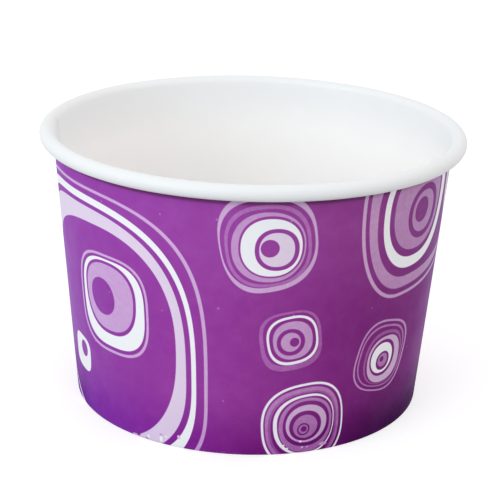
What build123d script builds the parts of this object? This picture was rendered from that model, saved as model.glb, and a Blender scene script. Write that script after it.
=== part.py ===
from build123d import *
import math
import os

# A round paperboard dessert cup. The side wall is one blank, wrapped into a cone and lapped at a side
# seam. Its top edge is rolled outwards into the rim, and its bottom edge is folded in and up, into a hem.
# The base is a flat disc with its edge turned down into a skirt, which the wall and its hem hold.
# The origin is the middle of the ring that the cup stands on, with +Z up the cup's axis.

# Driving dimensions, in millimetres and degrees
cup_height = 63.0
rim_diameter = 96.0
foot_diameter = 79.6

# The two boards, and the coating between them where they are sealed
wall_board = 0.38
base_board = 0.34
coating_gap = 0.03

# The rolled rim: a round curl, with the wall's top edge tucked inside it
curl_diameter = 3.4
tuck_gap = 0.12
tuck_angle = 45

# The foot: a tight fold under the skirt's lower edge, and the hem inside it
fold_inner_radius = 0.08
hem_length = 4.2
skirt_edge_gap = 0.3

# The base, whose underside stands clear of the table
base_recess = 5.6
base_bend_radius = 0.6

# The side seam: the blank's inner edge, the lap behind it, and the slope where the wall climbs over it
seam_edge_angle = 176
lap_width = 8.0
climb_width = 3.0
seam_bite = 0.12

quarter_turn = 90

# Each bend is a few equal flats, with their corners on its arc. The angle is about what each one turns.
outside_flat_angle = 30
bend_flat_angle = 45
fold_flat_angle = 90

# The wall's outer face is a straight line that starts at the foot and touches the inside of the curl.
rim_radius = rim_diameter / 2
foot_radius = foot_diameter / 2
curl_radius = curl_diameter / 2
curl_centre = Vector(rim_radius - curl_radius, cup_height - curl_radius)
foot_to_curl = curl_centre - Vector(foot_radius, 0)
lean_to_centre = math.atan2(foot_to_curl.X, foot_to_curl.Y)
lean_past_hollow = math.asin((curl_radius - wall_board) / foot_to_curl.length)
wall_lean = math.degrees(lean_to_centre - lean_past_hollow)

# Directions up the wall and out of it, in the plane of the section
up_wall = Vector(math.sin(math.radians(wall_lean)), math.cos(math.radians(wall_lean)))
out_of_wall = Vector(up_wall.Y, -up_wall.X)
inwards = Vector(-1, 0)

# Bend radii of the middle of the board
half_board = wall_board / 2
curl_bend_radius = curl_radius - half_board
tuck_bend_radius = curl_bend_radius - wall_board - tuck_gap
fold_bend_radius = fold_inner_radius + half_board

# The straight wall runs from the fold at the foot to the start of the curl.
curl_start = curl_centre - out_of_wall * curl_bend_radius
fold_start_height = half_board + fold_bend_radius * (1 - up_wall.X)
fold_start = curl_start - up_wall * ((curl_start.Y - fold_start_height) / up_wall.Y)

# The hem stands inside the wall, one skirt away. What is left between the two bends is the standing ring.
hem_spacing = wall_board + base_board + 2 * coating_gap
standing_width = (hem_spacing - 2 * fold_bend_radius) / up_wall.Y

# The skirt stands in the fold and bends over into the disc.
skirt_inset = half_board + coating_gap + base_board / 2
skirt_foot_height = wall_board + skirt_edge_gap
disc_height = base_recess + base_board / 2
skirt_top_height = disc_height - base_bend_radius * (1 + up_wall.X)


def wall_radius(height, depth):
    """Radius at a height of the cone that lies this deep behind the wall's outer face."""
    return foot_radius + (height * up_wall.X - depth) / up_wall.Y


def board_section(board_face, board):
    """The closed outline of a board: its two faces, each half a board off its middle, and its edges."""
    outer = board_face(board / 2)
    inner = board_face(-board / 2)
    first_edge = Line(outer[0] @ 0, inner[0] @ 0)
    last_edge = Line(outer[-1] @ 1, inner[-1] @ 1)
    return Plane.XZ * make_face(outer + inner + [first_edge, last_edge])


def flats(arc, flat_angle):
    """A bend as equal flats of about this angle, with their corners on its arc."""
    count = max(round(math.degrees(arc.length / arc.radius) / flat_angle), 1)
    return Polyline([arc @ (corner / count) for corner in range(count + 1)]).edges()


def wall_face(outboard):
    """One face of the wall's board, from the hem's upper edge round the fold to the curl's tucked edge."""
    low = fold_start + out_of_wall * outboard
    fold_radius = fold_bend_radius + outboard
    fold = JernArc(low, -up_wall, fold_radius, wall_lean - quarter_turn)
    standing = Line(fold @ 1, fold @ 1 + inwards * standing_width)
    hem_bend = JernArc(standing @ 1, inwards, fold_radius, -quarter_turn - wall_lean)
    hem = Line(hem_bend @ 1 + up_wall * hem_length, hem_bend @ 1)
    straight = Line(low, curl_start + out_of_wall * outboard)
    foot = [hem, *flats(hem_bend, fold_flat_angle), standing, *flats(fold, fold_flat_angle)]
    return foot + [straight] + curl_face(straight @ 1, outboard)


def curl_face(start, outboard):
    """One face of the rolled rim: over the top, round the outside, and under to the tucked edge."""
    radius = curl_bend_radius - outboard
    top = JernArc(start, up_wall, radius, wall_lean - quarter_turn)
    outside = JernArc(top @ 1, -inwards, radius, -quarter_turn)
    under = JernArc(outside @ 1, outside % 1, radius, -quarter_turn)
    tuck = JernArc(under @ 1, inwards, tuck_bend_radius - outboard, -tuck_angle)
    over = [*flats(top, bend_flat_angle), *flats(outside, outside_flat_angle)]
    return over + [*flats(under, bend_flat_angle), *flats(tuck, bend_flat_angle)]


def base_face(outboard):
    """One face of the base's board, from the skirt's lower edge over the bend to the cup's axis."""
    skirt_depth = half_board + skirt_inset
    low = Vector(wall_radius(skirt_foot_height, skirt_depth), skirt_foot_height)
    high = Vector(wall_radius(skirt_top_height, skirt_depth), skirt_top_height)
    skirt = Line(low + out_of_wall * outboard, high + out_of_wall * outboard)
    bend = JernArc(skirt @ 1, up_wall, base_bend_radius + outboard, quarter_turn + wall_lean)
    disc = Line(bend @ 1, Vector(0, (bend @ 1).Y))
    return [skirt, *flats(bend, bend_flat_angle), disc]


def seam_slice(height, depth, lap_angle, climb_angle):
    """Across the seam at a height: one board outside a face, sloping back into it past the blank's edge."""
    proud = wall_radius(height, depth - wall_board)
    buried = wall_radius(height, depth + seam_bite)
    slope_angle = climb_angle * (1 + seam_bite / wall_board)
    lap_start = seam_edge_angle - lap_angle
    slope_end = Vector(buried, 0).rotate(Axis.Z, seam_edge_angle + slope_angle)
    slope = Line(Vector(proud, 0).rotate(Axis.Z, seam_edge_angle), slope_end)
    inside = CenterArc((0, 0), buried, lap_start, lap_angle + slope_angle)
    lap_edge = Line(inside @ 0, Vector(proud, 0).rotate(Axis.Z, lap_start))
    edges = [slope, inside, lap_edge]
    if lap_angle:
        edges.append(CenterArc((0, 0), proud, lap_start, lap_angle))
    return Plane.XY.offset(height) * make_face(edges)


def seam_band(low, high, depth, lap_angle):
    """A band of the seam between two heights, straight up the wall."""
    climb_angle = math.degrees(climb_width / foot_radius)
    ends = [seam_slice(height, depth, lap_angle, climb_angle) for height in (low, high)]
    return loft(ends, ruled=True)


def cup_wall():
    """The side wall: the board turned about the axis, doubled outside at the lap and hollowed inside."""
    turned = revolve(board_section(wall_face, wall_board), Axis.Z)
    lap_angle = math.degrees(lap_width / foot_radius)
    lap = seam_band(fold_start.Y, curl_start.Y, 0, lap_angle)
    hollow = seam_band(base_recess + base_board, curl_start.Y, wall_board, 0)
    return turned + lap - hollow


def cup_base():
    """The base: a flat disc with its skirt."""
    return revolve(board_section(base_face, base_board), Axis.Z)


os.makedirs("parts", exist_ok=True)
export_step(cup_wall(), "parts/cup_wall.step")
export_step(cup_base(), "parts/cup_base.step")
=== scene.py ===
import math

import bmesh
import bpy
from mathutils import Matrix, Vector


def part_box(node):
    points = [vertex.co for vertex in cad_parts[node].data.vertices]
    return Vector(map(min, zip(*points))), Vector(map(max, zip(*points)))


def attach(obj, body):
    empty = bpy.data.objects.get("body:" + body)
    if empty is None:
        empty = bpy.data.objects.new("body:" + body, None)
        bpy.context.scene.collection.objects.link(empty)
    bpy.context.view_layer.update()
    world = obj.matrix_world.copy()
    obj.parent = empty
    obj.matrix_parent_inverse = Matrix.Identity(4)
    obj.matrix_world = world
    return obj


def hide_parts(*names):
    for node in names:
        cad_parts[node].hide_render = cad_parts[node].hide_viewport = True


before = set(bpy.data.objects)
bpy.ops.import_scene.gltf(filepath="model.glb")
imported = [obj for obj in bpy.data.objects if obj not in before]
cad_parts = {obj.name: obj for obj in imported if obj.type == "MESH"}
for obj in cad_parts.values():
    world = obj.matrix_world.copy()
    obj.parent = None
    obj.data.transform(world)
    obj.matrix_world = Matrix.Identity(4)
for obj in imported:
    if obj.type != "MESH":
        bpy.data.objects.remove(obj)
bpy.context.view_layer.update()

# A round paper dessert cup with a rolled rim, a side seam, a folded foot and a recessed base. Its lengths are
# in metres. The print's own places and sizes are in millimetres, round the wall and up it.

# Sizes of the cup, from the frame where it has them
cup_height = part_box("cup_wall")[1].z
rim_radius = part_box("cup_wall")[1].x
disc_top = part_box("cup_base")[1].z
foot_radius = 0.0398
wall_board = 0.00038
base_board = 0.00034
coating = 0.00003
curl_radius = 0.0017
tuck_gap = 0.00012
fold_inner_radius = 0.00008
hem_length = 0.0042
skirt_gap = 0.0003
base_bend_radius = 0.0006

# The straight wall touches the inside of the curl, which gives its lean.
curl_centre = Vector((rim_radius - curl_radius, 0, cup_height - curl_radius))
foot_to_curl = curl_centre - Vector((foot_radius, 0, 0))
wall_lean = (math.atan2(foot_to_curl.x, foot_to_curl.z)
             - math.asin((curl_radius - wall_board) / foot_to_curl.length))
up_wall = Vector((math.sin(wall_lean), 0, math.cos(wall_lean)))
out_of_wall = Vector((math.cos(wall_lean), 0, -math.sin(wall_lean)))

# Bend radii of the middle of the board, and the ends of the straight wall
half_board = wall_board / 2
curl_bend = curl_radius - half_board
tuck_bend = curl_bend - wall_board - tuck_gap
fold_bend = fold_inner_radius + half_board
wall_top = curl_centre - out_of_wall * curl_bend
wall_bottom_height = half_board + fold_bend * (1 - up_wall.x)
wall_length = (wall_top.z - wall_bottom_height) / up_wall.z
hem_spacing = wall_board + base_board + 2 * coating
standing_width = (hem_spacing - 2 * fold_bend) / up_wall.z

quarter = math.pi / 2
full_turn = 2 * math.pi

# The side seam: the blank's outer edge, its inner edge, and where the wall has climbed over it
seam_outer_angle = math.radians(164.5)
seam_inner_angle = math.radians(176)
seam_climb_angle = math.radians(180.4)

# Half the width of the step at the outer edge, which is sharp, and at the inner edge, which is pressed soft
seam_edge_width = math.radians(0.05)
seam_step_width = math.radians(0.22)

# The lap starts over the foot's fold, and is pressed thinner under the rolled rim.
lap_foot_height = wall_bottom_height - wall_board * up_wall.x
curl_foot_height = curl_centre.z - curl_radius
press_height = 0.001
lap_press = (curl_foot_height - press_height, curl_foot_height)
pressed_share = 0.25

# How far the curl and its tucked edge turn
curl_turn = 3 * quarter - wall_lean
tuck_turn = quarter / 2

# Steps along each stretch of a board's section, and round the base
hem_steps, fold_steps, wall_steps, curl_steps, tuck_steps = 8, 8, 48, 36, 6
skirt_steps, base_bend_steps, disc_steps, base_turn_steps = 6, 8, 24, 256

# Points nearer than this are one point, and a bend sharper than the angle is an edge.
merge_distance = 1e-7
sharp_angle = math.radians(50)

# Sectors of the wall's spin, as pairs of the angle where one ends and its steps
wall_sectors = [
    (seam_outer_angle - seam_edge_width, 128),
    (seam_outer_angle + seam_edge_width, 1),
    (seam_inner_angle - seam_step_width, 10),
    (seam_inner_angle + seam_step_width, 2),
    (seam_climb_angle, 6),
    (full_turn, 140),
]


def start_board(bm, place, across, board, marks):
    """The cut end of a board, as one edge from its outer face to its inner face."""
    outer = bm.verts.new(place + across * board / 2)
    inner = bm.verts.new(place - across * board / 2)
    outer[marks["side"]], inner[marks["side"]] = 1.0, -1.0
    return bm.edges.new((outer, inner))


def run_board(bm, end, step, count):
    """The board's end carried straight on, in equal parts. Returns the new end."""
    for _ in range(count):
        grown = bmesh.ops.extrude_edge_only(bm, edges=[end])["geom"]
        end = next(g for g in grown if isinstance(g, bmesh.types.BMEdge))
        bmesh.ops.translate(bm, verts=end.verts[:], vec=step / count)
    return end


def bend_board(bm, end, centre, angle, count):
    """The board's end swung round a bend's centre, in equal parts. Returns the new end."""
    swept = bmesh.ops.spin(bm, geom=[end], cent=centre, axis=(0, 1, 0), angle=angle, steps=count)
    return next(g for g in swept["geom_last"] if isinstance(g, bmesh.types.BMEdge))


def board_middle(end):
    """The middle of a board's end."""
    return (end.verts[0].co + end.verts[1].co) / 2


def across_end(end, marks):
    """The direction from a board's inner face to its outer face at one end."""
    outer = max(end.verts, key=lambda vert: vert[marks["side"]])
    inner = min(end.verts, key=lambda vert: vert[marks["side"]])
    return (outer.co - inner.co).normalized()


def turn_section(bm, marks, sectors):
    """The section's outline, turned about the cup's axis. The section itself goes."""
    for edge in bm.edges:
        across = across_end(edge, marks)
        if edge.verts[0][marks["side"]] != edge.verts[1][marks["side"]]:
            for vert in edge.verts:
                vert[marks["across_x"]], vert[marks["across_z"]] = across.x, across.z
    rungs = [edge for edge in bm.edges if len(edge.link_faces) == 2]
    on_axis = [edge for edge in bm.edges if all(abs(vert.co.x) < merge_distance for vert in edge.verts)]
    bmesh.ops.delete(bm, geom=bm.faces[:], context="FACES_ONLY")
    bmesh.ops.delete(bm, geom=list(set(rungs + on_axis)), context="EDGES")
    geom = bm.edges[:] + bm.verts[:]
    reached = 0
    for angle, steps in sectors:
        swept = bmesh.ops.spin(bm, geom=geom, axis=(0, 0, 1), angle=angle - reached, steps=steps)
        geom, reached = swept["geom_last"], angle
    bmesh.ops.remove_doubles(bm, verts=bm.verts[:], dist=merge_distance)
    bmesh.ops.recalc_face_normals(bm, faces=bm.faces[:])


def new_section():
    """An empty mesh whose points remember their face of the board and the way across it."""
    bm = bmesh.new()
    marks = {name: bm.verts.layers.float.new(name) for name in ("side", "across_x", "across_z")}
    return bm, marks


def azimuth(place):
    """The angle round the cup, from 0 to a full turn."""
    return math.atan2(place.y, place.x) % full_turn


def ramp(value, start, end):
    """0 before the start, 1 after the end, and smooth between."""
    share = min(max((value - start) / (end - start), 0), 1)
    return share * share * (3 - 2 * share)


def seam_shift(place, side):
    """How far the seam moves a point of the wall outwards: the lap outside, the step inside."""
    angle = azimuth(place)
    climbed = 1 - ramp(angle, seam_inner_angle, seam_climb_angle)
    edge, width = (seam_outer_angle, seam_edge_width) if side > 0 else (seam_inner_angle, seam_step_width)
    raised_board = wall_board * climbed * ramp(angle, edge - width, edge + width)
    if side > 0:
        return raised_board * (1 - (1 - pressed_share) * ramp(place.z, *lap_press))
    return raised_board * (1 - ramp(place.z, wall_top.z, cup_height))


def on_seam(place, side):
    """Whether the seam can move this point: not the foot's fold and hem, nor the curl past its top."""
    reach = math.hypot(place.x, place.y)
    if side > 0:
        on_wall = reach < foot_radius + place.z * math.tan(wall_lean) + coating
        return lap_foot_height < place.z < wall_top.z and on_wall
    return place.z > disc_top and reach < curl_centre.x


def raise_seam(bm, marks):
    """The lapped side seam: double board outside, and a step inside that fades over the rolled rim."""
    for vert in bm.verts:
        side = vert[marks["side"]]
        if on_seam(vert.co, side):
            across = Vector((vert[marks["across_x"]], 0, vert[marks["across_z"]]))
            turned = Matrix.Rotation(azimuth(vert.co), 3, "Z") @ across
            vert.co += turned * seam_shift(vert.co, side)


def finish_mesh(bm, name, materials):
    """A mesh object from a bmesh, smooth apart from its sharp edges."""
    mesh = bpy.data.meshes.new(name)
    bm.to_mesh(mesh)
    bm.free()
    for material in materials:
        mesh.materials.append(material)
    mesh.shade_smooth()
    mesh.set_sharp_from_angle(angle=sharp_angle)
    piece = bpy.data.objects.new(name, mesh)
    bpy.context.scene.collection.objects.link(piece)
    return piece


def wall_section(bm, marks):
    """The wall's board: hem, fold, straight wall, curl and tucked edge, as a strip in the XZ plane."""
    wall_bottom = wall_top - up_wall * wall_length
    fold_centre = wall_bottom - out_of_wall * fold_bend
    hem_centre = fold_centre - Vector((standing_width, 0, 0))
    hem_foot = hem_centre - out_of_wall * fold_bend
    end = start_board(bm, hem_foot + up_wall * hem_length, -out_of_wall, wall_board, marks)
    end = run_board(bm, end, -up_wall * hem_length, hem_steps)
    end = bend_board(bm, end, hem_centre, -(quarter + wall_lean), fold_steps)
    end = run_board(bm, end, Vector((standing_width, 0, 0)), 1)
    end = bend_board(bm, end, fold_centre, -(quarter - wall_lean), fold_steps)
    end = run_board(bm, end, up_wall * wall_length, wall_steps)
    end = bend_board(bm, end, curl_centre, curl_turn, curl_steps)
    tuck_centre = board_middle(end) + (curl_centre - board_middle(end)).normalized() * tuck_bend
    bend_board(bm, end, tuck_centre, tuck_turn, tuck_steps)


# Material slots: of the wall, and of the base
print_slot, white_slot, edge_slot = 0, 1, 2
base_white_slot, base_edge_slot = 0, 1


def cup_wall(materials):
    """The side wall, with its printed outside, its white inside and its cut edges."""
    bm, marks = new_section()
    wall_section(bm, marks)
    turn_section(bm, marks, wall_sectors)
    raise_seam(bm, marks)
    for face in bm.faces:
        sides = {vert[marks["side"]] for vert in face.verts}
        if len(sides) > 1:
            face.material_index = edge_slot
        elif sides == {1.0} and face.calc_center_median().z < wall_top.z:
            face.material_index = print_slot
        else:
            face.material_index = white_slot
    return finish_mesh(bm, "cup_wall_board", materials)


def cup_base(materials):
    """The base: a flat disc with its edge turned down into a skirt."""
    bm, marks = new_section()
    skirt_inset = half_board + coating + base_board / 2
    low = wall_board + skirt_gap
    disc_middle = disc_top - base_board / 2
    high = disc_middle - base_bend_radius * (1 + up_wall.x)
    wall_middle = wall_top - up_wall * (wall_top.z / up_wall.z) - Vector((skirt_inset / up_wall.z, 0, 0))
    skirt_foot, skirt_top = (wall_middle + up_wall * (height / up_wall.z) for height in (low, high))
    end = start_board(bm, skirt_foot, out_of_wall, base_board, marks)
    end = run_board(bm, end, skirt_top - skirt_foot, skirt_steps)
    bend_centre = skirt_top - out_of_wall * base_bend_radius
    end = bend_board(bm, end, bend_centre, -(quarter + wall_lean), base_bend_steps)
    run_board(bm, end, Vector((-board_middle(end).x, 0, 0)), disc_steps)
    turn_section(bm, marks, [(full_turn, base_turn_steps)])
    for face in bm.faces:
        sides = {vert[marks["side"]] for vert in face.verts}
        face.material_index = base_edge_slot if len(sides) > 1 else base_white_slot
    return finish_mesh(bm, "cup_base_board", materials)


# Noises: how many finer layers each has and how strong they are, and limits that a noise is stretched between
fibre_roughness, cloud_roughness, print_grain_roughness = (4.0, 0.65), (3.0, 0.55), (2.0, 0.5)
blotch_roughness, ground_cloud_roughness = (4.0, 0.7), (5.0, 0.6)
middle_limits, wide_limits, high_limits, scuff_limits = (0.3, 0.7), (0.25, 0.75), (0.35, 0.75), (0.52, 0.66)


def new_material(name):
    """A node material with its Principled shader."""
    material = bpy.data.materials.new(name)
    material.use_nodes = True
    nodes = material.node_tree.nodes
    return material, material.node_tree, nodes["Principled BSDF"]


def add(tree, kind, **settings):
    """A node of a kind, with its settings."""
    node = tree.nodes.new(kind)
    for key, value in settings.items():
        setattr(node, key, value)
    return node


def math_node(tree, operation, *inputs):
    """A Math node. Its inputs are numbers or sockets."""
    node = add(tree, "ShaderNodeMath", operation=operation)
    for socket, value in zip(node.inputs, inputs):
        feed(tree, socket, value)
    return node.outputs[0]


def feed(tree, socket, value):
    """A number, colour or socket, put into an input."""
    if isinstance(value, bpy.types.NodeSocket):
        tree.links.new(value, socket)
    else:
        socket.default_value = value


def linear(red, green, blue):
    """A colour written as it shows on a screen, from 0 to 255, made linear."""
    def channel(value):
        share = value / 255
        return share / 12.92 if share <= 0.04045 else ((share + 0.055) / 1.055) ** 2.4
    return (channel(red), channel(green), channel(blue), 1.0)


def new_group(name, inputs, outputs):
    """A shader node group with named sockets: pairs of a name and a kind."""
    tree = bpy.data.node_groups.new(name, "ShaderNodeTree")
    for direction, sockets in (("INPUT", inputs), ("OUTPUT", outputs)):
        for socket_name, kind in sockets:
            tree.interface.new_socket(socket_name, in_out=direction, socket_type="NodeSocket" + kind)
    return tree, tree.nodes.new("NodeGroupInput"), tree.nodes.new("NodeGroupOutput")


def noise(tree, place, scale, detail, roughness):
    """A noise from 0 to 1, mostly near the middle."""
    node = add(tree, "ShaderNodeTexNoise")
    tree.links.new(place, node.inputs["Vector"])
    node.inputs["Detail"].default_value = detail
    node.inputs["Roughness"].default_value = roughness
    feed(tree, node.inputs["Scale"], scale)
    return node.outputs["Fac"]


def stretch(tree, value, start, end, low=0.0, high=1.0):
    """A value between two limits, moved to two others."""
    node = add(tree, "ShaderNodeMapRange")
    tree.links.new(value, node.inputs["Value"])
    for name, limit in (("From Min", start), ("From Max", end), ("To Min", low), ("To Max", high)):
        node.inputs[name].default_value = limit
    return node.outputs["Result"]


def board_grain_group():
    """Paperboard's surface: fine fibre as a height, and the cloudy formation of the sheet as a mask."""
    scales = [("Fibre Scale", "Float"), ("Cloud Scale", "Float")]
    tree, inside, outside = new_group("board grain", scales, [("Fibre", "Float"), ("Cloud", "Float")])
    here = add(tree, "ShaderNodeTexCoord").outputs["Object"]
    fibre = noise(tree, here, inside.outputs["Fibre Scale"], *fibre_roughness)
    cloud = noise(tree, here, inside.outputs["Cloud Scale"], *cloud_roughness)
    tree.links.new(fibre, outside.inputs["Fibre"])
    tree.links.new(stretch(tree, cloud, *middle_limits), outside.inputs["Cloud"])
    return tree


def grain(tree, fibre_scale, cloud_scale):
    """The board grain at a material's own scale. Returns its fibre and its cloud."""
    node = add(tree, "ShaderNodeGroup")
    node.node_tree = board_grain
    node.inputs["Fibre Scale"].default_value = fibre_scale
    node.inputs["Cloud Scale"].default_value = cloud_scale
    return node.outputs["Fibre"], node.outputs["Cloud"]


def press_in(tree, shader, height, depth):
    """A height from 0 to 1, as bump of a real depth."""
    bump = add(tree, "ShaderNodeBump")
    tree.links.new(height, bump.inputs["Height"])
    bump.inputs["Distance"].default_value = depth
    tree.links.new(bump.outputs["Normal"], shader.inputs["Normal"])


def wrap_group():
    """Places on the wall in millimetres: round it from the front, and up it. It breaks at the lap's edge.

    The artwork's own places round the wall are the same on the front, and repeat on the back.
    """
    places = [("Place", "Vector"), ("Along", "Float"), ("Up", "Float"), ("Artwork Along", "Float")]
    tree, inside, outside = new_group("print place", [], places)
    tree.nodes.remove(inside)
    here = add(tree, "ShaderNodeTexCoord").outputs["Object"]
    split = add(tree, "ShaderNodeSeparateXYZ")
    tree.links.new(here, split.inputs[0])
    back = math_node(tree, "MULTIPLY", split.outputs["Y"], -1)
    angle = math_node(tree, "ARCTAN2", split.outputs["X"], back)
    before_lap = math_node(tree, "LESS_THAN", angle, lap_angle_from_front)
    wrapped = math_node(tree, "MULTIPLY_ADD", before_lap, full_turn, angle)
    round_wall = math_node(tree, "MULTIPLY", wrapped, print_radius)
    up = math_node(tree, "MULTIPLY", split.outputs["Z"], millimetres_in_metre)
    repeated = round_wall
    for start, step in artwork_repeats:
        past_start = math_node(tree, "GREATER_THAN", round_wall, start)
        repeated = math_node(tree, "MULTIPLY_ADD", past_start, -step, repeated)
    join = add(tree, "ShaderNodeCombineXYZ")
    tree.links.new(round_wall, join.inputs[0])
    tree.links.new(up, join.inputs[1])
    found = {"Place": join.outputs[0], "Along": round_wall, "Up": up, "Artwork Along": repeated}
    for name, socket in found.items():
        tree.links.new(socket, outside.inputs[name])
    return tree


def shape_group():
    """One printed shape: a rounded square with its own reach to each side. It lays an amount of ink.

    The reaches to the left and below are negative. Every socket is a number, which keeps the shader small.
    """
    names = ("Along", "Up", "Centre Along", "Centre Up", "Tilt", "Left", "Right", "Below", "Above",
             "Squareness", "Softness", "Under", "Ink")
    sockets = [(name, "Float") for name in names]
    tree, inside, outside = new_group("printed shape", sockets, [("Ink", "Float")])
    given = inside.outputs
    along = math_node(tree, "SUBTRACT", given["Along"], given["Centre Along"])
    up = math_node(tree, "SUBTRACT", given["Up"], given["Centre Up"])
    cosine = math_node(tree, "COSINE", given["Tilt"])
    sine = math_node(tree, "SINE", given["Tilt"])
    across = math_node(tree, "MULTIPLY_ADD", up, sine, math_node(tree, "MULTIPLY", along, cosine))
    upwards = math_node(tree, "SUBTRACT", math_node(tree, "MULTIPLY", up, cosine),
                        math_node(tree, "MULTIPLY", along, sine))
    powers = []
    for way, before, after in ((across, "Left", "Right"), (upwards, "Below", "Above")):
        sides = [math_node(tree, "DIVIDE", way, given[side]) for side in (before, after)]
        reach = math_node(tree, "MAXIMUM", *sides)
        powers.append(math_node(tree, "POWER", reach, given["Squareness"]))
    past_edge = math_node(tree, "SUBTRACT", 1.0, math_node(tree, "ADD", *powers))
    mask = math_node(tree, "ADD", math_node(tree, "DIVIDE", past_edge, given["Softness"]), 0.5)
    paint = add(tree, "ShaderNodeMix", data_type="FLOAT", clamp_factor=True)
    for name, socket in (("Factor", mask), ("A", given["Under"]), ("B", given["Ink"])):
        tree.links.new(socket, paint.inputs[name])
    tree.links.new(paint.outputs["Result"], outside.inputs["Ink"])
    return tree


# The print is laid out in millimetres, at this distance from the axis. It breaks at the lap's outer edge.
millimetres_in_metre = 1000
print_radius = 42.4
lap_angle_from_front = seam_outer_angle - 3 * quarter

# How far the edge of a printed shape takes from no ink to its own
edge_softness = 0.16

# Where the artwork starts again, as a place round the wall and how far it steps back there
artwork_repeats = [(76, 82.6), (106, 100.4)]

# White board: where ink lies on it, inside the cup, and on the rim, with the height over which they blend.
# The inside is a lighter copy of the board, as painted light, and the rim a darker copy, as painted shade.
bare_board = linear(248, 249, 251)
inside_white_painted_light = linear(253, 251, 250)
rim_white_painted_shade = linear(237, 238, 239)
rim_shade_fade = 0.014

# The ground where the ink is full: violet to the left and plum to the right, with painted light and shade in
# its
# colour: darker to the right and at the foot, lighter towards the rim, and a painted sheen near the left edge
# and at
# 56 mm round. Each run of colour is pairs of a place round the wall and the colour there. The fades are
# heights.
ground_reach = (-80, 190)
upper_ground_with_painted_light = [
    (-78, linear(150, 60, 160)), (-62, linear(168, 114, 193)), (-53, linear(159, 92, 183)),
    (-44, linear(152, 75, 173)), (-30, linear(148, 59, 162)), (-5, linear(150, 57, 155)),
    (24, linear(127, 38, 125)), (46, linear(128, 54, 131)), (56, linear(142, 84, 154)),
    (75, linear(126, 40, 126)), (110, linear(140, 50, 145)), (188, linear(150, 60, 160)),
]
rim_ground_with_painted_light = [
    (-78, linear(156, 66, 166)), (-60, linear(160, 84, 182)), (-45, linear(155, 68, 173)),
    (-5, linear(157, 67, 164)), (24, linear(146, 62, 142)), (46, linear(136, 68, 140)),
    (56, linear(146, 90, 158)), (75, linear(136, 56, 136)), (110, linear(148, 60, 152)),
    (188, linear(156, 66, 166)),
]
foot_ground_with_painted_shade = [
    (-78, linear(118, 30, 140)), (-52, linear(108, 22, 142)), (-42, linear(128, 40, 164)),
    (-5, linear(125, 28, 135)), (24, linear(85, 2, 90)), (42, linear(60, 2, 72)),
    (75, linear(84, 6, 92)), (110, linear(112, 20, 125)), (188, linear(118, 30, 140)),
]
painted_foot_shade_fade = (16, 0)
painted_rim_light_fade = (27, 56)
# Painted shadow under the rolled rim: its colour, the heights it fades in over, and how strongly it darkens
# the ground
painted_rim_shadow, painted_rim_shadow_fade, painted_rim_shadow_share = linear(92, 42, 84), (57.9, 58.6), 0.75

# The power that board and ink are mixed at
tint_root = 0.2

# Amounts of ink, from bare board to the full ground
bare, pale, light, line, lilac = 0.0, 0.15, 0.25, 0.335, 0.38
dusky, soft, faint, full = 0.44, 0.495, 0.68, 1.0

# How the ink lies: noise scales for a millimetre, and the most that each changes the amount of ink
blotch_scale, blotch_amount = 0.9, 0.45
ground_cloud_scale, ground_cloud_amount = 0.24, 0.075
print_grain_scale, print_grain_amount = 3.0, 0.02
speck_spacing, speck_share, speck_size, speck_light, speck_middle = 7.0, 0.4, 0.05, 0.4, 0.3
foot_wear_scale, foot_wear_reach, foot_wear_light = 0.5, 0.9, 0.5

# Finishes: grain scales for a metre, as fibre and cloud, relief in metres, and limits of roughness
print_grain_scales, varnish_relief = (1400, 120), 0.000004
ink_roughness, varnish_weight, varnish_roughness = (0.5, 0.6), (0.05, 0.12), 0.22
white_grain_scales, white_relief, white_roughness = (1500, 90), 0.000008, (0.44, 0.56)
white_cloud, white_cloud_amount = linear(232, 231, 229), 0.12
crimp_count, crimp_share = 150, 2.5
edge_grain_scales, edge_relief, edge_roughness = (5200, 700), 0.00004, (0.8, 0.92)
edge_tints = (linear(222, 214, 202), linear(240, 234, 224))


def shape(left, right, below, above, ink, squareness=2.2, tilt=0, widest=None, highest=None):
    """One contour of the print, by how far it reaches to each side. Widest and highest say where."""
    return {"left": left, "right": right, "below": below, "above": above, "ink": ink,
            "squareness": squareness, "tilt": tilt,
            "widest": (below + above) / 2 if widest is None else widest,
            "highest": (left + right) / 2 if highest is None else highest}


swirl = [
    shape(-75, -8.4, -9, 55.8, line, 3.35, widest=14, highest=-45),
    shape(-74.5, -9.2, -8, 55.1, full, 3.35, widest=14, highest=-45),
    shape(-73, -11.0, -9, 53.9, bare, 3.0, widest=16, highest=-46),
    shape(-71, -12.1, -5.5, 52.2, full, 2.95, widest=17, highest=-45),
    shape(-69, -13.3, -5, 51.2, pale, 2.8, widest=18, highest=-43),
    shape(-100, -46, -26, 16, full, 2.2, widest=-5, highest=-73),
    shape(-63.9, -15.6, -2.4, 47.7, pale, 2.4, widest=23, highest=-37),
    shape(-62.8, -15.6, -1.3, 47.7, full, 2.4, widest=23, highest=-37),
]

left_motif = [
    shape(-44.2, -22.0, 18.6, 41.7, line, 3.1),
    shape(-43.6, -22.6, 19.25, 41.1, full, 3.1),
    shape(-42.8, -23.05, 20.1, 40.6, bare, 3.0),
    shape(-41.65, -25.2, 23.05, 40.05, full, 2.4, widest=32.5),
    shape(-41.1, -25.95, 23.9, 39.4, lilac, 2.4, widest=32.3),
    shape(-39.35, -31.5, 27.2, 35.75, full, 2.1, tilt=12),
]

left_drop = [
    shape(-51.6, -43.0, 9.8, 18.2, bare, 3.4, tilt=-6),
    shape(-48.0, -44.5, 13.2, 17.05, full, 2.1),
]

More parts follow.
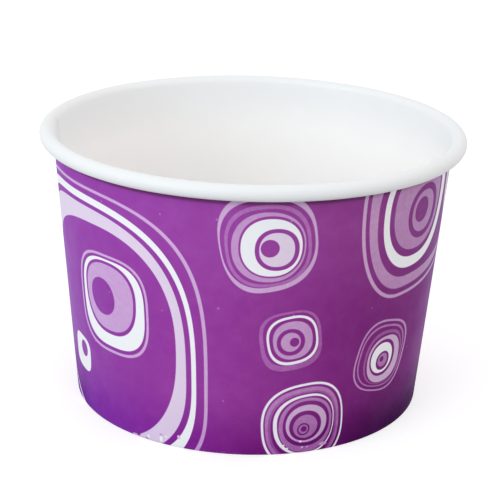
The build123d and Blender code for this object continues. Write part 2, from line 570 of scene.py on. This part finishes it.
top_centre_motif = [
    shape(-6.25, 13.5, 38.8, 60.7, line, 2.55, tilt=9, widest=50.2, highest=2.2),
    shape(-5.85, 13.0, 39.95, 59.4, full, 2.4, tilt=9, widest=49.8, highest=2.4),
    shape(-5.0, 12.3, 40.15, 58.4, faint, 2.5, tilt=7, highest=3.3),
    shape(-4.35, 11.6, 40.85, 57.5, full, 2.45, tilt=7, highest=3.3),
    shape(-3.75, 11.2, 41.25, 56.8, dusky, 2.2),
    shape(-2.3, 10.85, 42.2, 55.95, full, 2.2),
    shape(-1.9, 10.45, 42.55, 55.35, bare, 2.2),
    shape(0.95, 9.85, 43.85, 53.15, full, 2.2),
    shape(1.8, 8.95, 44.7, 52.3, pale, 2.2),
    shape(2.1, 5.85, 46.85, 50.75, full, 2.0),
]

edge_motif = [
    shape(54.3, 75, 43, 74, pale, 2.3, widest=62, highest=64),
    shape(57.5, 74, 46, 72, full, 2.3, widest=62, highest=65),
]

top_right_motif = [
    shape(23.1, 74, 33.2, 70, line, 2.3, widest=56, highest=36.5),
    shape(23.95, 73, 34.0, 69, full, 2.3, widest=56, highest=36.5),
    shape(24.9, 70, 35.2, 68, dusky, 2.3, widest=56, highest=37),
    shape(27.15, 68, 37.7, 66, full, 2.3, widest=54, highest=38.5),
    shape(28.75, 52.8, 39.5, 65, bare, 2.3, widest=53.5, highest=39.5),
    shape(30.35, 50.3, 42.0, 64, full, 2.3, widest=53.5, highest=40),
    shape(31.7, 49.4, 43.5, 63, soft, 2.3, widest=53.5, highest=40.5),
    shape(36.3, 47.85, 45.6, 57.9, full, 2.1),
    shape(37.6, 46.3, 47.0, 56.5, soft, 2.1),
    shape(38.6, 43.7, 49.3, 55.0, full, 2.1),
]

small_motif = [
    shape(2.6, 16.1, 20.6, 34.4, faint, 3.0, tilt=9),
    shape(3.4, 15.35, 21.9, 33.9, full, 3.0, tilt=9),
    shape(4.1, 15.3, 21.95, 33.35, bare, 2.6, tilt=10),
    shape(4.65, 14.75, 22.65, 32.75, full, 2.6, tilt=10),
    shape(5.4, 14.05, 23.2, 32.1, lilac, 2.3, tilt=8),
    shape(6.25, 12.35, 24.1, 30.35, full, 2.1),
    shape(7.1, 11.45, 25.0, 29.5, lilac, 2.0),
    shape(9.05, 11.1, 26.15, 28.25, full, 2.0),
]

right_motif = [
    shape(25.35, 42.0, 11.35, 28.25, lilac, 2.8, tilt=-14),
    shape(25.8, 41.4, 11.75, 27.75, full, 2.8, tilt=-14),
    shape(26.2, 41.0, 12.4, 27.1, soft, 2.6, tilt=-12),
    shape(26.6, 40.6, 12.7, 26.6, full, 2.6, tilt=-12),
    shape(27.8, 40.2, 12.9, 25.7, faint, 2.4, tilt=-8),
    shape(28.4, 39.9, 13.1, 24.9, full, 2.4, tilt=-8),
    shape(28.8, 39.65, 13.3, 24.35, light, 2.3),
    shape(29.5, 37.75, 14.95, 23.6, full, 2.1),
    shape(29.9, 36.95, 15.65, 22.9, bare, 2.1),
    shape(31.6, 35.9, 16.3, 20.75, full, 2.1),
    shape(32.1, 35.3, 17.1, 20.3, soft, 2.1),
    shape(32.75, 34.05, 18.3, 19.6, full, 2.0),
]

bottom_motif = [
    shape(3.6, 23.3, -3.0, 17.2, bare, 2.5, widest=7, highest=14.5, tilt=5),
    shape(4.2, 22.85, -2.4, 16.6, full, 2.5, widest=7, highest=14.5, tilt=5),
    shape(4.5, 22.2, -2.2, 16.1, soft, 2.5, widest=7, highest=14.5, tilt=5),
    shape(5.2, 21.6, -1.6, 15.2, faint, 2.4, widest=7, highest=14.5, tilt=5),
    shape(5.8, 21.1, -1.2, 14.75, full, 2.4, widest=7, highest=14.5, tilt=5),
    shape(6.3, 20.9, -0.4, 14.45, bare, 2.3, widest=7.5, highest=14.5, tilt=4),
    shape(7.25, 20.65, 0.1, 13.85, full, 2.3, widest=7.5, highest=14.5, tilt=4),
    shape(7.6, 20.35, 0.2, 13.5, soft, 2.2, widest=7, highest=14.4),
    shape(8.6, 19.75, 1.7, 12.8, full, 2.2, widest=7, highest=14.2),
    shape(9.25, 19.05, 2.6, 11.85, light, 2.1),
    shape(10.1, 17.75, 3.1, 10.4, full, 2.1),
    shape(11.0, 16.85, 3.7, 9.4, soft, 2.0),
    shape(12.0, 15.0, 4.4, 7.4, full, 2.0),
    shape(12.35, 14.65, 4.75, 7.05, soft, 2.0),
    shape(12.9, 14.3, 5.25, 6.65, full, 2.0),
]

printed_shapes = (swirl + left_motif + left_drop + top_centre_motif + top_right_motif + edge_motif
                  + small_motif + right_motif + bottom_motif)

# Nicks where the ink is rubbed off or dented near the foot: place, half width, half height, and the ink left
foot_nicks = [
    (-27.1, 0.3, 1.2, 0.4, light), (-26.4, 0.8, 0.5, 0.35, full), (-23.5, 0.9, 0.35, 0.5, bare),
    (-23.9, 0.45, 0.5, 0.25, dusky), (-20.0, 1.3, 0.4, 0.75, bare), (-20.0, 2.3, 0.4, 0.3, line),
    (-18.6, 2.15, 0.25, 0.25, bare), (-15.4, 2.7, 0.4, 0.5, pale), (9.0, 2.2, 0.3, 0.25, bare),
    (9.8, 1.4, 0.4, 0.25, bare), (13.0, 2.9, 0.28, 0.28, bare), (13.5, 1.4, 0.25, 0.25, pale),
    (14.7, 1.4, 0.25, 0.2, light), (18.7, 1.6, 1.0, 0.45, light),
]
worn_foot = [shape(along - half_width, along + half_width, up - half_height, up + half_height, ink)
             for along, up, half_width, half_height, ink in foot_nicks]


def paint_shapes(tree, along, up, shapes, ink):
    """Printed shapes over an amount of ink, from the lowest to the last. Returns the new amount."""
    for item in shapes:
        node = add(tree, "ShaderNodeGroup")
        node.node_tree = printed_shape
        reach = {"Left": item["left"] - item["highest"], "Right": item["right"] - item["highest"],
                 "Below": item["below"] - item["widest"], "Above": item["above"] - item["widest"]}
        smallest = min(reach["Right"], reach["Above"])
        values = {"Along": along, "Up": up, "Centre Along": item["highest"], "Centre Up": item["widest"],
                  "Tilt": math.radians(item["tilt"]), "Squareness": item["squareness"],
                  "Softness": edge_softness * item["squareness"] / smallest, "Under": ink, "Ink": item["ink"]}
        for name, value in (values | reach).items():
            feed(tree, node.inputs[name], value)
        ink = node.outputs["Ink"]
    return ink


def mix_colours(tree, factor, first, second):
    """A mix of two colours, by a factor from 0 to 1."""
    node = add(tree, "ShaderNodeMix", data_type="RGBA")
    for name, value in (("Factor", factor), ("A", first), ("B", second)):
        feed(tree, node.inputs[name], value)
    return node.outputs["Result"]


def smooth_share(tree, value, start, end):
    """0 at the start, 1 at the end, smooth between."""
    node = add(tree, "ShaderNodeMapRange", interpolation_type="SMOOTHSTEP")
    tree.links.new(value, node.inputs["Value"])
    node.inputs["From Min"].default_value = min(start, end)
    node.inputs["From Max"].default_value = max(start, end)
    node.inputs["To Min"].default_value = 0 if start < end else 1
    node.inputs["To Max"].default_value = 1 if start < end else 0
    return node.outputs["Result"]


def colour_run(tree, value, reach, stops):
    """Colours that run into each other over a reach: pairs of a place and a colour."""
    node = add(tree, "ShaderNodeValToRGB")
    node.color_ramp.interpolation = "CARDINAL"
    tree.links.new(stretch(tree, value, *reach), node.inputs["Fac"])
    for _ in range(len(stops) - len(node.color_ramp.elements)):
        node.color_ramp.elements.new(0.5)
    for element, (place, colour) in zip(node.color_ramp.elements, stops):
        element.position = (place - reach[0]) / (reach[1] - reach[0])
        element.color = colour
    return node.outputs["Color"]


def raised(tree, colour, power):
    """Each channel of a colour to a power."""
    node = add(tree, "ShaderNodeGamma")
    feed(tree, node.inputs["Color"], colour)
    node.inputs["Gamma"].default_value = power
    return node.outputs["Color"]


def ink_colour_group():
    """The colour of an amount of ink at a place, with painted light and shade in the ground. Printed dots
    spread, so tints mix by their roots.
    """
    given = [("Place", "Vector"), ("Ink", "Float")]
    tree, inside, outside = new_group("ink colour", given, [("Colour", "Color")])
    split = add(tree, "ShaderNodeSeparateXYZ")
    tree.links.new(inside.outputs["Place"], split.inputs[0])
    along, up = split.outputs["X"], split.outputs["Y"]
    # Painted light and shade: the ground's colour runs lighter and darker round and up the wall as the light
    # falls.
    runs = (upper_ground_with_painted_light, rim_ground_with_painted_light, foot_ground_with_painted_shade)
    upper, rim, foot = (colour_run(tree, along, ground_reach, stops) for stops in runs)
    upper = mix_colours(tree, smooth_share(tree, up, *painted_rim_light_fade), upper, rim)
    ground = mix_colours(tree, smooth_share(tree, up, *painted_foot_shade_fade), upper, foot)
    # Painted shadow: the ground darkened in a thin band under the rolled rim.
    shaded = math_node(tree, "MULTIPLY", smooth_share(tree, up, *painted_rim_shadow_fade), painted_rim_shadow_share)
    ground = mix_colours(tree, shaded, ground, painted_rim_shadow)
    rooted = (raised(tree, colour, tint_root) for colour in (bare_board, ground))
    root = mix_colours(tree, inside.outputs["Ink"], *rooted)
    tree.links.new(raised(tree, root, 1 / tint_root), outside.inputs["Colour"])
    return tree


def ink_wear_group():
    """An amount of ink as it lies on the board: cloudy in the tints, mottled and worn in the ground."""
    given = [("Place", "Vector"), ("Ink", "Float")]
    tree, inside, outside = new_group("ink wear", given, [("Ink", "Float")])
    place, ink = inside.outputs["Place"], inside.outputs["Ink"]
    gap = math_node(tree, "SUBTRACT", 1.0, ink)
    blotch = stretch(tree, noise(tree, place, blotch_scale, *blotch_roughness), *wide_limits, -1, 1)
    weak_ink = math_node(tree, "MULTIPLY", math_node(tree, "MULTIPLY", ink, ink), gap)
    tint_share = math_node(tree, "MULTIPLY", weak_ink, blotch_amount)
    blotched = math_node(tree, "MULTIPLY_ADD", blotch, tint_share, ink)
    cloud = stretch(tree, noise(tree, place, ground_cloud_scale, *ground_cloud_roughness), *high_limits)
    mottled = math_node(tree, "MULTIPLY", cloud, -ground_cloud_amount)
    print_grain = stretch(tree, noise(tree, place, print_grain_scale, *print_grain_roughness), *middle_limits)
    grained = math_node(tree, "MULTIPLY_ADD", print_grain, -print_grain_amount, mottled)
    worn = math_node(tree, "MULTIPLY_ADD", grained, ink, blotched)
    cells = add(tree, "ShaderNodeTexVoronoi", voronoi_dimensions="2D")
    tree.links.new(place, cells.inputs["Vector"])
    cells.inputs["Scale"].default_value = 1 / speck_spacing
    chance = add(tree, "ShaderNodeSeparateColor")
    tree.links.new(cells.outputs["Color"], chance.inputs[0])
    chosen = math_node(tree, "LESS_THAN", chance.outputs[0], speck_share)
    size = math_node(tree, "MULTIPLY", chance.outputs[1], speck_size)
    near = math_node(tree, "DIVIDE", cells.outputs["Distance"], size)
    speck = math_node(tree, "MULTIPLY", smooth_share(tree, near, 1.0, speck_middle), chosen)
    split = add(tree, "ShaderNodeSeparateXYZ")
    tree.links.new(place, split.inputs[0])
    at_foot = smooth_share(tree, split.outputs["Y"], foot_wear_reach, 0)
    scuffed = stretch(tree, noise(tree, place, foot_wear_scale, *blotch_roughness), *scuff_limits)
    rubbed = math_node(tree, "MULTIPLY", at_foot, scuffed)
    lost = math_node(tree, "MULTIPLY", speck, speck_light)
    lost = math_node(tree, "MULTIPLY_ADD", rubbed, foot_wear_light, lost)
    left = math_node(tree, "MULTIPLY", worn, math_node(tree, "SUBTRACT", 1.0, lost))
    tree.links.new(left, outside.inputs["Ink"])
    return tree


def printed_material():
    """Purple ink and its rounded rings, under a thin gloss varnish on coated board."""
    material, tree, shader = new_material("printed_board")
    place = add(tree, "ShaderNodeGroup")
    place.node_tree = print_place
    worn = add(tree, "ShaderNodeGroup")
    worn.node_tree = ink_wear
    colour = add(tree, "ShaderNodeGroup")
    colour.node_tree = ink_colour
    tree.links.new(place.outputs["Place"], worn.inputs["Place"])
    found = place.outputs
    artwork = paint_shapes(tree, found["Artwork Along"], found["Up"], printed_shapes, full)
    tree.links.new(paint_shapes(tree, found["Along"], found["Up"], worn_foot, artwork), worn.inputs["Ink"])
    tree.links.new(place.outputs["Place"], colour.inputs["Place"])
    tree.links.new(worn.outputs["Ink"], colour.inputs["Ink"])
    tree.links.new(colour.outputs["Colour"], shader.inputs["Base Color"])
    fibre, cloud = grain(tree, *print_grain_scales)
    tree.links.new(stretch(tree, cloud, 0, 1, *ink_roughness), shader.inputs["Roughness"])
    tree.links.new(stretch(tree, cloud, 0, 1, *varnish_weight), shader.inputs["Coat Weight"])
    shader.inputs["Coat Roughness"].default_value = varnish_roughness
    shader.inputs["Specular IOR Level"].default_value = 0
    press_in(tree, shader, fibre, varnish_relief)
    return material


def white_material():
    """White board with its thin coating, as inside the cup and on the rim, and crimped inside the foot. The
    inside is lightened as painted light and the rim darkened as painted shade.
    """
    material, tree, shader = new_material("white_board")
    here = add(tree, "ShaderNodeTexCoord").outputs["Object"]
    split = add(tree, "ShaderNodeSeparateXYZ")
    tree.links.new(here, split.inputs[0])
    # Painted light and shade: the rim's white is darker and the inside's lighter, blended by height.
    on_rim = smooth_share(tree, split.outputs["Z"], wall_top.z - rim_shade_fade, wall_top.z)
    tint = mix_colours(tree, on_rim, inside_white_painted_light, rim_white_painted_shade)
    fibre, cloud = grain(tree, *white_grain_scales)
    shaded = mix_colours(tree, math_node(tree, "MULTIPLY", cloud, white_cloud_amount), tint, white_cloud)
    tree.links.new(shaded, shader.inputs["Base Color"])
    tree.links.new(stretch(tree, cloud, 0, 1, *white_roughness), shader.inputs["Roughness"])
    angle = math_node(tree, "ARCTAN2", split.outputs["Y"], split.outputs["X"])
    ridges = math_node(tree, "SINE", math_node(tree, "MULTIPLY", angle, crimp_count))
    in_foot = smooth_share(tree, split.outputs["Z"], hem_length + wall_board, hem_length - wall_board)
    crimps = math_node(tree, "MULTIPLY", ridges, math_node(tree, "MULTIPLY", in_foot, crimp_share))
    press_in(tree, shader, math_node(tree, "ADD", fibre, crimps), white_relief)
    return material


def edge_material():
    """The board's cut edge: bare fibre."""
    material, tree, shader = new_material("cut_edge")
    fibre, cloud = grain(tree, *edge_grain_scales)
    tree.links.new(mix_colours(tree, fibre, *edge_tints), shader.inputs["Base Color"])
    tree.links.new(stretch(tree, cloud, 0, 1, *edge_roughness), shader.inputs["Roughness"])
    press_in(tree, shader, fibre, edge_relief)
    return material


board_grain = board_grain_group()
print_place = wrap_group()
printed_shape = shape_group()
ink_colour = ink_colour_group()
ink_wear = ink_wear_group()
printed_board = printed_material()
white_board = white_material()
cut_edge = edge_material()

wall = cup_wall([printed_board, white_board, cut_edge])
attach(wall, "root")
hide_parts("cup_wall")

base = cup_base([white_board, cut_edge])
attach(base, "root")
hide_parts("cup_base")


# The floor and the light: how much light each gives the cup, and what the floor adds for the camera
floor_reach = 3
floor_roughness = 0.9
floor_bounce = 0.55
floor_glow = 0.6
sky_light = 0.855
pure_white = (1, 1, 1, 1)

# Soft lights: turn from the front, height angle, distance, how much each lights what faces it, and its tint
studio_lights = {
    "key": (-45, 25, 0.8, 0.34, (0.82, 0.94, 1.0)),
    "fill": (85, 25, 0.8, 0.09, (1.0, 0.87, 0.82)),
}
light_width = 0.5

# The camera: its lens and sensor in millimetres, its shift, and its height angle, roll and distance
lens_length, sensor_width = 117.54, 36
lens_shift = (0.00035, 0.01077)
nearest_view = 0.01
view_height, view_roll = math.radians(19.8), math.radians(1.687)
view_distance = 0.378717


def seen_directly(tree):
    """1 for what the camera sees, also by reflection or through glass, and 0 for the light on the cup."""
    rays = add(tree, "ShaderNodeLightPath").outputs
    mirrored = math_node(tree, "ADD", rays["Is Glossy Ray"], rays["Is Transmission Ray"])
    return math_node(tree, "ADD", rays["Is Camera Ray"], mirrored)


def floor_material():
    """A white floor that keeps the cup's shadow. To the camera it is brighter than to the cup."""
    material, tree, shader = new_material("floor")
    shader.inputs["Base Color"].default_value = (floor_bounce, floor_bounce, floor_bounce, 1)
    shader.inputs["Roughness"].default_value = floor_roughness
    shader.inputs["Specular IOR Level"].default_value = 0
    glow = math_node(tree, "MULTIPLY", seen_directly(tree), floor_glow)
    shader.inputs["Emission Color"].default_value = pure_white
    tree.links.new(glow, shader.inputs["Emission Strength"])
    return material


def add_floor():
    """A wide plain floor under the cup."""
    bm = bmesh.new()
    bmesh.ops.create_grid(bm, x_segments=1, y_segments=1, size=floor_reach)
    floor = finish_mesh(bm, "floor", [floor_material()])


def add_world():
    """A white world: plain to the camera, and even soft light on the cup."""
    world = bpy.data.worlds.new("studio")
    bpy.context.scene.world = world
    world.use_nodes = True
    tree = world.node_tree
    background = tree.nodes["Background"]
    strength = add(tree, "ShaderNodeMix", data_type="FLOAT")
    tree.links.new(seen_directly(tree), strength.inputs["Factor"])
    strength.inputs["A"].default_value = sky_light
    strength.inputs["B"].default_value = 1.0
    tree.links.new(strength.outputs["Result"], background.inputs["Strength"])
    background.inputs["Color"].default_value = pure_white


def add_light(name, turn, height, distance, light, tint):
    """A square soft light, turned to the cup. A light of 1 would show a facing colour as it is written."""
    lamp = bpy.data.lights.new(name, "AREA")
    lamp.size = light_width
    lamp.energy = light * (math.pi * distance) ** 2
    lamp.color = tint
    turn, height = math.radians(turn), math.radians(height)
    back = Vector((math.cos(height) * math.sin(turn), -math.cos(height) * math.cos(turn), math.sin(height)))
    item = bpy.data.objects.new(name, lamp)
    item.location = Vector((0, 0, cup_height / 2)) + back * distance
    item.rotation_euler = back.to_track_quat("Z", "Y").to_euler()
    bpy.context.scene.collection.objects.link(item)


def add_camera():
    """The camera, at the photograph's angle."""
    camera = bpy.data.cameras.new("camera")
    camera.sensor_width = sensor_width
    camera.lens = lens_length
    camera.shift_x, camera.shift_y = lens_shift
    camera.clip_start = nearest_view
    back = Vector((0, -math.cos(view_height), math.sin(view_height)))
    right = Vector((1, 0, 0))
    up = back.cross(right)
    turned_right = right * math.cos(view_roll) + up * math.sin(view_roll)
    turned_up = up * math.cos(view_roll) - right * math.sin(view_roll)
    place = Vector((0, 0, cup_height / 2)) + back * view_distance
    item = bpy.data.objects.new("camera", camera)
    item.matrix_world = (Matrix.Translation(place)
                         @ Matrix((turned_right, turned_up, back)).transposed().to_4x4())
    bpy.context.scene.collection.objects.link(item)
    bpy.context.scene.camera = item


add_floor()
add_world()
for light_name, light_place in studio_lights.items():
    add_light(light_name, *light_place)
add_camera()
bpy.context.scene.view_settings.view_transform = "Standard"
